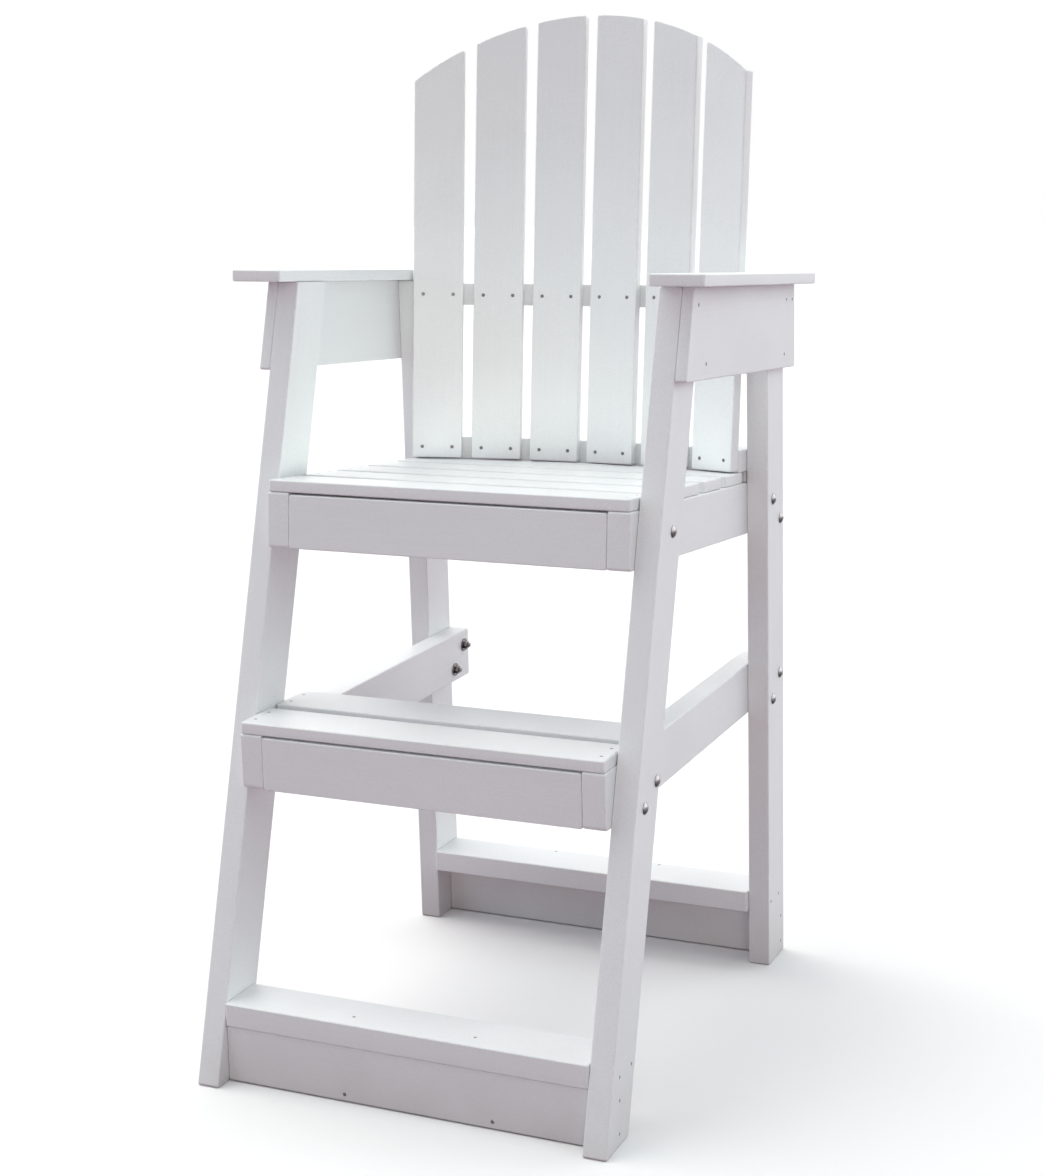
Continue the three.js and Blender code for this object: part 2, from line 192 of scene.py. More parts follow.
@dataclass(frozen=True)
class MouldedPlastic:
    """White polyethylene lumber with the skin that the mould gave it."""

    # High-density polyethylene, extruded as a board and cooled in a form. The eye gets a satin white
    # with faint streaks of flow along the board, a fine pebbled skin that breaks up the gloss, scuffed
    # edges, and a little dirt that rain has splashed up from the ground.
    name: str = "hdpe_lumber_moulded_satin"
    colour: str = "#eef1f2"
    streak_colour: str = "#ebedee"
    speckle_colour: str = "#dfe1e2"
    edge_colour: str = "#f4f4f2"
    grime_colour: str = "#b9b2ab"
    roughness: float = 0.45
    roughness_swing: float = 0.16
    ior: float = 1.54
    streak_length: float = 260 * MM
    streak_width: float = 4 * MM
    streak_detail: float = 4.0
    streak_roughness: float = 0.6
    streak_range: tuple[float, float] = (0.12, 0.42)
    mottle_size: float = 130 * MM
    mottle_detail: float = 3.0
    # The real pebble is about 0.5 mm across. It is drawn at 2.4 mm so that it still shows in the render.
    pebble_size: float = 2.4 * MM
    pebble_detail: float = 2.0
    pebble_height: float = 0.05 * MM
    speckle_range: tuple[float, float] = (0.35, 0.65)
    speckle_share: float = 0.4
    ripple_width: float = 30 * MM
    ripple_detail: float = 1.0
    ripple_height: float = 0.06 * MM
    scuff_size: float = 14 * MM
    scuff_detail: float = 4.0
    scuff_range: tuple[float, float] = (0.4, 0.6)
    scuff_share: float = 0.6
    splash_height: float = 110 * MM
    splash_share: float = 0.5

    def build(self) -> Material:
        """Build the material on each plank's own grain, along, across and through it.

        Returns:
            The material.
        """
        material, tree = new_surface(self.name)
        grain = add_node(tree, "ShaderNodeAttribute", {"attribute_name": "grain"}).outputs["Vector"]
        flow, waves = (
            add_node(tree, "ShaderNodeMapping", inputs={
                "Vector": grain, "Scale": (1 / self.streak_length, 1 / width, 1 / width),
            }).outputs["Vector"]
            for width in (self.streak_width, self.ripple_width)
        )
        streaks = add_node(tree, "ShaderNodeTexNoise", inputs={
            "Vector": flow, "Scale": 1.0,
            "Detail": self.streak_detail, "Roughness": self.streak_roughness,
        })
        ripple = add_node(tree, "ShaderNodeTexNoise", inputs={
            "Vector": waves, "Scale": 1.0, "Detail": self.ripple_detail,
        })
        mottle, pebble, scuffs = (
            add_node(tree, "ShaderNodeTexNoise", inputs={
                "Vector": grain, "Scale": 1 / size, "Detail": detail,
            }).outputs["Fac"]
            for size, detail in (
                (self.mottle_size, self.mottle_detail),
                (self.pebble_size, self.pebble_detail),
                (self.scuff_size, self.scuff_detail),
            )
        )
        tone = add_node(tree, "ShaderNodeMath", {"operation": "MULTIPLY"}, {
            0: streaks.outputs["Fac"], 1: mottle,
        })
        streaked, speckled, scuffed = (
            add_node(tree, "ShaderNodeMapRange", inputs={
                "Value": value, "From Min": reach[0], "From Max": reach[1], "To Max": share,
            }).outputs["Result"]
            for value, reach, share in (
                (tone.outputs["Value"], self.streak_range, 1.0),
                (pebble, self.speckle_range, self.speckle_share),
                (scuffs, self.scuff_range, self.scuff_share),
            )
        )
        edge = add_node(tree, "ShaderNodeAttribute", {"attribute_name": "edge"})
        place = add_node(tree, "ShaderNodeTexCoord")
        height = add_node(tree, "ShaderNodeSeparateXYZ", inputs={"Vector": place.outputs["Object"]})
        near_floor = add_node(tree, "ShaderNodeMapRange", inputs={
            "Value": height.outputs["Z"], "From Max": self.splash_height,
            "To Min": self.splash_share, "To Max": 0.0,
        })
        worn, splashed = (
            add_node(tree, "ShaderNodeMath", {"operation": "MULTIPLY"}, {0: place_share, 1: pattern})
            for place_share, pattern in (
                (edge.outputs["Fac"], scuffed),
                (near_floor.outputs["Result"], mottle),
            )
        )
        colour = linear(self.colour)
        for share, over in (
            (streaked, self.streak_colour),
            (speckled, self.speckle_colour),
            (worn.outputs["Value"], self.edge_colour),
            (splashed.outputs["Value"], self.grime_colour),
        ):
            colour = add_node(tree, "ShaderNodeMix", {"data_type": "RGBA"}, {
                "Factor": share, MIX_A: colour, MIX_B: linear(over),
            }).outputs[MIX_OUT]
        rough = add_node(tree, "ShaderNodeMapRange", inputs={
            "Value": mottle,
            "To Min": self.roughness - self.roughness_swing,
            "To Max": self.roughness + self.roughness_swing,
        })
        swell = add_node(tree, "ShaderNodeBump", inputs={
            "Strength": 1.0, "Distance": self.ripple_height, "Height": ripple.outputs["Fac"],
        })
        bump = add_node(tree, "ShaderNodeBump", inputs={
            "Strength": 1.0, "Distance": self.pebble_height, "Height": pebble,
            "Normal": swell.outputs["Normal"],
        })
        shader = add_node(tree, "ShaderNodeBsdfPrincipled", inputs={
            "Base Color": colour, "Roughness": rough.outputs["Result"], "IOR": self.ior,
            "Normal": bump.outputs["Normal"],
        })
        add_node(tree, "ShaderNodeOutputMaterial", inputs={"Surface": shader.outputs["BSDF"]})
        return material


@dataclass(frozen=True)
class SawnPlastic:
    """The same lumber where a saw went through it."""

    # High-density polyethylene with its moulded skin cut away. The eye gets a duller and slightly darker
    # white than the faces, with the shallow arcs that the blade left and the pores of the foamed core. The
    # pores are flat spots painted darker: painted shade that stands for the shadow inside each pore.
    name: str = "hdpe_lumber_sawn"
    colour: str = "#e3e5e4"
    pore_colour: str = "#b9b8b4"
    roughness: float = 0.68
    ior: float = 1.54
    arc_spacing: float = 3.2 * MM
    arc_height: float = 0.12 * MM
    arc_wander: float = 1.2
    arc_detail: float = 2.0
    # The real pores are about 0.5 mm across. They are drawn at 2.4 mm so that they show in the render.
    pore_size: float = 2.4 * MM
    pore_range: tuple[float, float] = (0.12, 0.3)
    pore_share: float = 0.3

    def build(self) -> Material:
        """Build the material on the plank's own grain attribute.

        Returns:
            The material.
        """
        material, tree = new_surface(self.name)
        grain = add_node(tree, "ShaderNodeAttribute", {"attribute_name": "grain"})
        arcs = add_node(tree, "ShaderNodeTexWave", {"wave_type": "RINGS"}, {
            "Vector": grain.outputs["Vector"], "Scale": 1 / self.arc_spacing / math.tau,
            "Distortion": self.arc_wander, "Detail": self.arc_detail,
        })
        pores = add_node(tree, "ShaderNodeTexVoronoi", inputs={
            "Vector": grain.outputs["Vector"], "Scale": 1 / self.pore_size,
        })
        # Painted shade: spots where the pores are get a darker colour, with no hollow in the surface.
        painted_pore_shade = add_node(tree, "ShaderNodeMapRange", inputs={
            "Value": pores.outputs["Distance"],
            "From Min": self.pore_range[0], "From Max": self.pore_range[1],
            "To Min": self.pore_share, "To Max": 0.0,
        })
        colour = add_node(tree, "ShaderNodeMix", {"data_type": "RGBA"}, {
            "Factor": painted_pore_shade.outputs["Result"],
            MIX_A: linear(self.colour), MIX_B: linear(self.pore_colour),
        })
        bump = add_node(tree, "ShaderNodeBump", inputs={
            "Strength": 1.0, "Distance": self.arc_height, "Height": arcs.outputs["Fac"],
        })
        shader = add_node(tree, "ShaderNodeBsdfPrincipled", inputs={
            "Base Color": colour.outputs[MIX_OUT], "Roughness": self.roughness, "IOR": self.ior,
            "Normal": bump.outputs["Normal"],
        })
        add_node(tree, "ShaderNodeOutputMaterial", inputs={"Surface": shader.outputs["BSDF"]})
        return material


@dataclass(frozen=True)
class StainlessSteel:
    """Stainless steel fixings, cold formed, in the states that weather and feet leave them in."""

    # Grade 316 stainless, formed and tumbled. The eye gets a grey metal that mirrors the white studio
    # softly. Bolts keep their shine on top. What faces down on every fixing is painted darker: painted
    # shade that stands in for a dark ground mirrored there. Screws are dulled by salt, or by sand where
    # feet scuff them. A cloudy tarnish a few millimetres across breaks up the tone of all of them.
    name: str
    colour: str
    tarnish_colour: str
    roughness: float
    underside_colour: str
    # The normal's height at which the painted underside shade starts, and at which it covers all.
    underside_range: tuple[float, float] = (0.5, -0.35)
    cloud_size: float = 3 * MM
    cloud_detail: float = 3.0

    def build(self) -> Material:
        """Build the material on Object coordinates.

        Returns:
            The material.
        """
        material, tree = new_surface(self.name)
        place = add_node(tree, "ShaderNodeTexCoord")
        cloud = add_node(tree, "ShaderNodeTexNoise", inputs={
            "Vector": place.outputs["Object"], "Scale": 1 / self.cloud_size, "Detail": self.cloud_detail,
        })
        colour = add_node(tree, "ShaderNodeMix", {"data_type": "RGBA"}, {
            "Factor": cloud.outputs["Fac"],
            MIX_A: linear(self.colour), MIX_B: linear(self.tarnish_colour),
        })
        # Faces that point down are painted darker: painted shade on the lower side of each fixing.
        surface = add_node(tree, "ShaderNodeNewGeometry")
        lie = add_node(tree, "ShaderNodeSeparateXYZ", inputs={"Vector": surface.outputs["Normal"]})
        painted_shade_share = add_node(tree, "ShaderNodeMapRange", {"interpolation_type": "SMOOTHSTEP"}, {
            "Value": lie.outputs["Z"],
            "From Min": self.underside_range[0], "From Max": self.underside_range[1],
        })
        shaded_underside = add_node(tree, "ShaderNodeMix", {"data_type": "RGBA"}, {
            "Factor": painted_shade_share.outputs["Result"],
            MIX_A: colour.outputs[MIX_OUT], MIX_B: linear(self.underside_colour),
        })
        shader = add_node(tree, "ShaderNodeBsdfPrincipled", inputs={
            "Base Color": shaded_underside.outputs[MIX_OUT], "Roughness": self.roughness, "Metallic": 1.0,
        })
        add_node(tree, "ShaderNodeOutputMaterial", inputs={"Surface": shader.outputs["BSDF"]})
        return material


@dataclass(frozen=True)
class Finishes:
    """Every finish on the chair, built once."""

    moulded: Material
    sawn: Material
    bolt_steel: Material
    screw_steel: dict[ScrewState, Material]

    @classmethod
    def build(cls) -> Finishes:
        """Build all the materials.

        Returns:
            The finishes.
        """
        return cls(
            moulded=MouldedPlastic().build(),
            sawn=SawnPlastic().build(),
            # The last colour of each steel is the painted shade on what faces down.
            bolt_steel=StainlessSteel(
                "stainless_steel_tumbled", "#a19b9d", "#878183", 0.2, "#4b4447",
            ).build(),
            screw_steel={
                ScrewState.WEATHERED: StainlessSteel(
                    "stainless_steel_weathered", "#8a8b8b", "#737474", 0.4, "#666363",
                ).build(),
                ScrewState.DUSTED: StainlessSteel(
                    "stainless_steel_dusted", "#bdbdbb", "#9a9a98", 0.55, "#8f8d8b",
                ).build(),
            },
        )


@dataclass(frozen=True)
class Screw:
    """A screw, as a line from outside its plank to the face that it goes into."""

    origin: Vector
    direction: Vector


@dataclass
class FixingPlaces:
    """Points on surfaces, each with the way that a fixing there faces."""

    points: list[Vector] = field(default_factory=list)
    facings: list[Vector] = field(default_factory=list)

    def add(self, point: Vector, facing: Vector) -> None:
        """Add a place at the point, with the way that its fixing faces."""
        self.points.append(point)
        self.facings.append(facing)

    def mesh(self, name: str) -> Mesh:
        """Make a mesh of loose points with a facing attribute.

        Args:
            name: The mesh's name.

        Returns:
            The mesh.
        """
        mesh = bpy.data.meshes.new(name)
        mesh.from_pydata([tuple(p) for p in self.points], [], [])
        facing = mesh.attributes.new("facing", "FLOAT_VECTOR", "POINT")
        facing.data.foreach_set("vector", [c for f in self.facings for c in f])
        return mesh


@dataclass
class PlacedPattern:
    """A Geometry Nodes tree that sets one pattern on every point and turns it to face outwards."""

    name: str
    inputs: tuple[str, ...]

    def pattern(self, tree: NodeTree, entry: Node) -> NodeSocket:
        """Add the pattern's nodes, facing +Z with the surface at Z = 0, and give their output."""
        raise NotImplementedError

    def sizes(self) -> dict[str, float | int | Object]:
        """The tree's own inputs, each with its value."""
        return {name: getattr(self, name) for name in self.inputs}

    def tree(self) -> NodeTree:
        """Build the tree with its named inputs.

        Returns:
            The tree.
        """
        tree = bpy.data.node_groups.new(self.name, "GeometryNodeTree")
        kinds = {
            "points": "NodeSocketGeometry", "seed": "NodeSocketInt", "material": "NodeSocketMaterial",
            **{name: SOCKET_KINDS[type(value)] for name, value in self.sizes().items()},
        }
        for name, kind in kinds.items():
            tree.interface.new_socket(name, in_out="INPUT", socket_type=kind)
        tree.interface.new_socket("Mesh", in_out="OUTPUT", socket_type="NodeSocketGeometry")
        entry = add_node(tree, "NodeGroupInput")
        pattern = self.pattern(tree, entry)
        facing = add_node(
            tree, "GeometryNodeInputNamedAttribute", {"data_type": "FLOAT_VECTOR"}, {"Name": "facing"}
        )
        spin = add_node(tree, "FunctionNodeRandomValue", {"data_type": "FLOAT"}, {
            RANDOM_MIN: 0.0, RANDOM_MAX: math.tau, "Seed": entry.outputs["seed"],
        })
        turn = add_node(tree, "FunctionNodeAxisAngleToRotation", inputs={
            "Axis": (0.0, 0.0, 1.0), "Angle": spin.outputs[RANDOM_OUT],
        })
        outward = add_node(tree, "FunctionNodeAlignRotationToVector", {"axis": "Z"}, {
            "Rotation": turn.outputs["Rotation"], "Vector": facing.outputs["Attribute"],
        })
        placed = add_node(tree, "GeometryNodeInstanceOnPoints", inputs={
            "Points": entry.outputs["points"], "Instance": pattern,
            "Rotation": outward.outputs["Rotation"],
        })
        real = add_node(tree, "GeometryNodeRealizeInstances", inputs={
            "Geometry": placed.outputs["Instances"],
        })
        dressed = add_node(tree, "GeometryNodeSetMaterial", inputs={
            "Geometry": real.outputs["Geometry"], "Material": entry.outputs["material"],
        })
        add_node(tree, "NodeGroupOutput", inputs={"Mesh": dressed.outputs["Geometry"]})
        return tree

    def place(self, places: FixingPlaces, name: str, material: Material | None = None) -> Object:
        """Set the pattern on every place and turn the result into a plain mesh.

        Args:
            places: The points and their facings.
            name: The new object's name.
            material: The pattern's material, where it has one.

        Returns:
            An object at the origin, with its place in its mesh.
        """
        carrier = new_object(name, places.mesh(name))
        tree = self.tree()
        modifier = carrier.modifiers.new(self.name, "NODES")
        modifier.node_group = tree
        values = {"seed": SEED, "material": material, **self.sizes()}
        for item in tree.interface.items_tree:
            if item.in_out == "INPUT" and item.name in values:
                modifier[item.identifier] = values[item.name]
        return settled(carrier)


def settled(piece: Object) -> Object:
    """Turn an object's evaluated shape into its own plain mesh and take its modifiers off.

    Args:
        piece: The object, with its modifiers.

    Returns:
        The same object.
    """
    bpy.context.view_layer.update()
    shape = piece.evaluated_get(bpy.context.evaluated_depsgraph_get())
    mesh = bpy.data.meshes.new_from_object(shape)
    piece.modifiers.clear()
    piece.data = mesh
    mesh.name = piece.name
    return piece


@dataclass
class ScrewHeads(PlacedPattern):
    """Flat trim heads with a cross recess, sunk a little below the plank's face."""

    name: str = "screw_heads"
    inputs: tuple[str, ...] = (
        "radius", "thickness", "chamfer", "drive_width", "drive_length", "segments",
    )
    radius: float = 3.0 * MM
    thickness: float = 1.2 * MM
    sink: float = 0.5 * MM
    chamfer: float = 0.4 * MM
    drive_width: float = 0.75 * MM
    drive_length: float = 3.4 * MM
    segments: int = 24
    crease: float = 30.0

    def pattern(self, tree: NodeTree, entry: Node) -> NodeSocket:
        """Add a short cylinder with a chamfered rim, and a cross cut into it.

        Args:
            tree: The tree that gets the nodes.
            entry: The tree's input node.

        Returns:
            The output that carries the head.
        """
        size = entry.outputs
        body = add_node(tree, "GeometryNodeMeshCylinder", {"fill_type": "NGON"}, {
            "Vertices": size["segments"], "Radius": size["radius"],
            "Depth": size["thickness"],
        })
        rim = add_node(tree, "ShaderNodeMath", {"operation": "SUBTRACT"}, {
            0: size["radius"], 1: size["chamfer"],
        })
        crown = add_node(tree, "GeometryNodeMeshCone", {"fill_type": "NGON"}, {
            "Vertices": size["segments"], "Radius Top": rim.outputs["Value"],
            "Radius Bottom": size["radius"], "Depth": size["chamfer"],
        })
        lifted = add_node(tree, "GeometryNodeTransform", inputs={
            "Geometry": crown.outputs["Mesh"], "Translation": (0.0, 0.0, self.thickness / 2),
        })
        head = add_node(tree, "GeometryNodeMeshBoolean", {"operation": "UNION", "solver": "FLOAT"}, {
            "Mesh": body.outputs["Mesh"],
        })
        tree.links.new(lifted.outputs["Geometry"], head.inputs["Mesh 2"])
        bar_size = add_node(tree, "ShaderNodeCombineXYZ", inputs={
            "X": size["drive_length"], "Y": size["drive_width"], "Z": size["thickness"],
        })
        block = add_node(tree, "GeometryNodeMeshCube", inputs={"Size": bar_size.outputs["Vector"]})
        cut = add_node(tree, "GeometryNodeMeshBoolean", {"operation": "DIFFERENCE", "solver": "FLOAT"}, {
            "Mesh 1": head.outputs["Mesh"],
        })
        for turn in (0.0, math.pi / 2):
            bar = add_node(tree, "GeometryNodeTransform", inputs={
                "Geometry": block.outputs["Mesh"], "Translation": (0.0, 0.0, self.thickness),
                "Rotation": (0.0, 0.0, turn),
            })
            tree.links.new(bar.outputs["Geometry"], cut.inputs["Mesh 2"])
        drop = self.sink + self.chamfer / 2 + self.thickness / 2
        sunk = add_node(tree, "GeometryNodeTransform", inputs={
            "Geometry": cut.outputs["Mesh"], "Translation": (0.0, 0.0, -drop),
        })
        return sunk.outputs["Geometry"]


@dataclass
class ScrewHoles(PlacedPattern):
    """The plugs of material that the screws' counterbores take out of a plank."""

    name: str = "screw_holes"
    inputs: tuple[str, ...] = ("radius", "height", "segments")
    radius: float = 3.35 * MM
    height: float = 3.2 * MM
    overrun: float = 1.0 * MM
    segments: int = 24

    def pattern(self, tree: NodeTree, entry: Node) -> NodeSocket:
        """Add a cylinder from the bottom of the counterbore to a little outside the face.

        Args:
            tree: The tree that gets the nodes.
            entry: The tree's input node.

        Returns:
            The output that carries the plug.
        """
        plug = add_node(tree, "GeometryNodeMeshCylinder", {"fill_type": "NGON"}, {
            "Vertices": entry.outputs["segments"], "Radius": entry.outputs["radius"],
            "Depth": entry.outputs["height"],
        })
        sunk = add_node(tree, "GeometryNodeTransform", inputs={
            "Geometry": plug.outputs["Mesh"],
            "Translation": (0.0, 0.0, self.overrun - self.height / 2),
        })
        return sunk.outputs["Geometry"]


@dataclass
class BoltSets(PlacedPattern):
    """Domed bolts with a washer and a nut, each along its facing from the head inwards."""

    name: str = "bolt_sets"
    inputs: tuple[str, ...] = ("bolt",)
    shank_radius: float = 4.0 * MM
    head_radius: float = 9.5 * MM
    head_height: float = 5.0 * MM
    head_rim: float = 0.7 * MM
    clamped: float = 76.6 * MM
    washer_radius: float = 12.0 * MM
    washer_thickness: float = 2.0 * MM
    washer_edge: float = 0.25 * MM
    nut_width: float = 13.0 * MM
    nut_height: float = 6.5 * MM
    nut_chamfer: float = 0.9 * MM
    nut_chamfer_rise: float = 0.495 * MM
    tail: float = 4.0 * MM
    thread_pitch: float = 1.25 * MM
    thread_depth: float = 0.55 * MM
    thread_steps: int = 4
    around: int = 48
    dome_steps: int = 8
    crease: float = 35.0

    def pattern(self, tree: NodeTree, entry: Node) -> NodeSocket:
        """Take the bolt's mesh from the pattern object."""
        source = add_node(tree, "GeometryNodeObjectInfo", inputs={"Object": entry.outputs["bolt"]})
        return source.outputs["Geometry"]

    @cached_property
    def bolt(self) -> Object:
        """One bolt set, turned as a mesh and kept off the scene.

        Returns:
            The pattern object.
        """
        mesh = bmesh.new()
        self._head_and_shank(mesh)
        self._nut(mesh)
        bmesh.ops.recalc_face_normals(mesh, faces=mesh.faces)
        data = bpy.data.meshes.new("bolt_pattern")
        mesh.to_mesh(data)
        mesh.free()
        data.shade_smooth()
        return bpy.data.objects.new("bolt_pattern", data)

    def _head_and_shank(self, mesh: BMesh) -> None:
        """Add the head, shank, washer and threaded tail as one turned body.

        Args:
            mesh: The mesh that gets the body.
        """
        rise = self.head_height - self.head_rim
        cap_radius = (self.head_radius**2 + rise**2) / (2 * rise)
        half_turn = math.asin(self.head_radius / cap_radius)
        outline = []
        for step in range(1, self.dome_steps + 1):
            turn = half_turn * step / self.dome_steps
            lift = cap_radius * (math.cos(turn) - math.cos(half_turn))
            outline.append((cap_radius * math.sin(turn), self.head_rim + lift))
        nut_face = -self.clamped - self.washer_thickness
        outline += [
            (self.head_radius, 0.0),
            (self.shank_radius, 0.0),
            (self.shank_radius, -self.clamped),
            (self.washer_radius - self.washer_edge, -self.clamped),
            (self.washer_radius, -self.clamped - self.washer_edge),
            (self.washer_radius, nut_face + self.washer_edge),
            (self.washer_radius - self.washer_edge, nut_face),
            (self.shank_radius, nut_face),
        ]
        rings = [[(radius, z)] * self.around for radius, z in outline]
        tail_end = nut_face - self.nut_height - self.tail
        steps = round((nut_face - tail_end) / self.thread_pitch * self.thread_steps)
        for step in range(1, steps + 1):
            z = nut_face + (tail_end - nut_face) * step / steps
            phases = ((z / self.thread_pitch + turn / math.tau) % 1.0 for turn in self._turns())
            rings.append([
                (self.shank_radius - self.thread_depth * abs(2 * phase - 1), z) for phase in phases
            ])
        made = self._turned(mesh, rings)
        crown = mesh.verts.new((0.0, 0.0, self.head_height))
        for i in range(self.around):
            mesh.faces.new((crown, made[0][i], made[0][(i + 1) % self.around]))
        mesh.faces.new(list(reversed(made[-1])))

    def _nut(self, mesh: BMesh) -> None:
        """Add a hexagon nut whose corners are chamfered at both faces, with its bore left for the tail.

        Args:
            mesh: The mesh that gets the nut.
        """
        apothem = self.nut_width / 2
        side = math.tau / 6
        corner = apothem / math.cos(side / 2)
        top = -self.clamped - self.washer_thickness
        bottom = top - self.nut_height
        bore = self.shank_radius - self.thread_depth / 2
        rings = []
        for z, limit in (
            (top, corner - self.nut_chamfer),
            (top - self.nut_chamfer_rise, corner),
            (bottom + self.nut_chamfer_rise, corner),
            (bottom, corner - self.nut_chamfer),
            (bottom, bore),
            (top, bore),
        ):
            flats = (apothem / math.cos(turn % side - side / 2) for turn in self._turns())
            rings.append([(min(limit, flat), z) for flat in flats])
        made = self._turned(mesh, rings)
        self._wall(mesh, made[-1], made[0])

    def _turned(self, mesh: BMesh, rings: list[list[tuple[float, float]]]) -> list[list[BMVert]]:
        """Add rings of points round the bolt's axis, with a wall from each to the next.

        Args:
            mesh: The mesh that gets them.
            rings: For each ring, the radius and height of every point.

        Returns:
            The points of each ring.
        """
        made = []
        for ring in rings:
            made.append([
                mesh.verts.new((radius * math.cos(turn), radius * math.sin(turn), z))
                for (radius, z), turn in zip(ring, self._turns())
            ])
        for upper, lower in zip(made, made[1:]):
            self._wall(mesh, upper, lower)
        return made

    def _turns(self) -> list[float]:
        """The angle of every point on a ring."""
        return [math.tau * spoke / self.around for spoke in range(self.around)]

    def _wall(self, mesh: BMesh, upper: list[BMVert], lower: list[BMVert]) -> None:
        """Join two rings with faces.

        Args:
            mesh: The mesh that gets the faces.
            upper: One ring's points.
            lower: The other ring's points.
        """
        for i in range(self.around):
            j = (i + 1) % self.around
            mesh.faces.new((upper[i], lower[i], lower[j], upper[j]))


@dataclass
class Plank:
    """One plank of the chair, cut from its CAD solid, drilled for its screws and given a grain."""

    node: str
    screws: list[Screw] = field(default_factory=list)
    state: ScrewState = ScrewState.WEATHERED

    def build(self, finishes: Finishes, places: dict[ScrewState, FixingPlaces]) -> Object:
        """Build the plank that stands for its CAD node.

        Args:
            finishes: The chair's finishes.
            places: Gets the place of each screw that is found on this plank, under the screws' state.

        Returns:
            The plank's object.
        """
        solid = bmesh.new()
        solid.from_mesh(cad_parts[self.node].data)
        bmesh.ops.remove_doubles(solid, verts=solid.verts, dist=WELD)
        bmesh.ops.dissolve_limit(
            solid, angle_limit=math.radians(FLATNESS), verts=solid.verts, edges=solid.edges
        )
        name = f"{self.node}_plank"
        data = bpy.data.meshes.new(name)
        finder = BVHTree.FromBMesh(solid)
        solid.to_mesh(data)
        solid.free()
        piece = new_object(name, data)
        own = FixingPlaces()
        for screw in self.screws:
            point, facing, _, _ = finder.ray_cast(screw.origin, screw.direction)
            if point is None:
                log.warning("no screw on %s at %s", self.node, tuple(screw.origin))
                continue
            own.add(point, facing)
            places[self.state].add(point, facing)
        if own.points:
            self._drill(piece, own)
        self._shade(piece)
        self._grain(piece)
        piece.data.materials.clear()
        piece.data.materials.append(finishes.moulded)
        piece.data.materials.append(finishes.sawn)
        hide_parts(self.node)
        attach(piece, ROOT)
        return piece

    def _drill(self, piece: Object, places: FixingPlaces) -> None:
        """Cut a counterbore at each place.

        Args:
            piece: The plank's object.
            places: Where the screws go in.
        """
        plugs = ScrewHoles().place(places, "plugs")
        cut = piece.modifiers.new("counterbores", "BOOLEAN")
        cut.operation = "DIFFERENCE"
        cut.solver = "EXACT"
        cut.object = plugs
        settled(piece)
        bpy.data.objects.remove(plugs)

    def _shade(self, piece: Object) -> None:
        """Shade the eased edges round and keep the flats flat.

        Args:
            piece: The plank's object.
        """
        piece.data.shade_smooth()
        piece.data.set_sharp_from_angle(angle=math.radians(PLANK_CREASE))
        weighted = piece.modifiers.new("weighted", "WEIGHTED_NORMAL")
        weighted.keep_sharp = True
        settled(piece)

    def _grain(self, piece: Object) -> None:
        """Give every point its place along, across and through the plank, and mark ends and eased edges.

        Args:
            piece: The plank's object.
        """
        data = piece.data
        places = np.zeros(len(data.vertices) * 3)
        data.vertices.foreach_get("co", places)
        places = places.reshape(-1, 3)
        middle = (places.max(0) + places.min(0)) / 2
        _, axes = np.linalg.eigh(np.cov((places - middle).T))
        along, across, through = axes[:, 2], axes[:, 1], axes[:, 0]
        shift = random.Random(f"{SEED}{self.node}").uniform(0.0, GRAIN_SHIFT)
        local = (places - middle) @ np.array([along, across, through]).T + shift
        grain = data.attributes.new("grain", "FLOAT_VECTOR", "POINT")
        grain.data.foreach_set("vector", local.astype(np.float32).ravel())
        edge = data.attributes.new("edge", "FLOAT", "FACE")
        total = sum(face.area for face in data.polygons)
        flats = [face.normal.copy() for face in data.polygons if face.area > MAIN_SHARE * total]
        turn_cosine = math.cos(math.radians(EASED_TURN))
        for face in data.polygons:
            is_end = abs(face.normal @ Vector(along)) > END_COSINE
            face.material_index = (PlankFace.SAWN if is_end else PlankFace.MOULDED).value
            rim = sum((data.vertices[a].co - data.vertices[b].co).length for a, b in face.edge_keys)
            narrow = 2 * face.area / rim < EASED_WIDTH and rim > 2 * EASED_LENGTH
            turned = all(face.normal @ flat < turn_cosine for flat in flats)
            edge.data[face.index].value = float(narrow and turned)


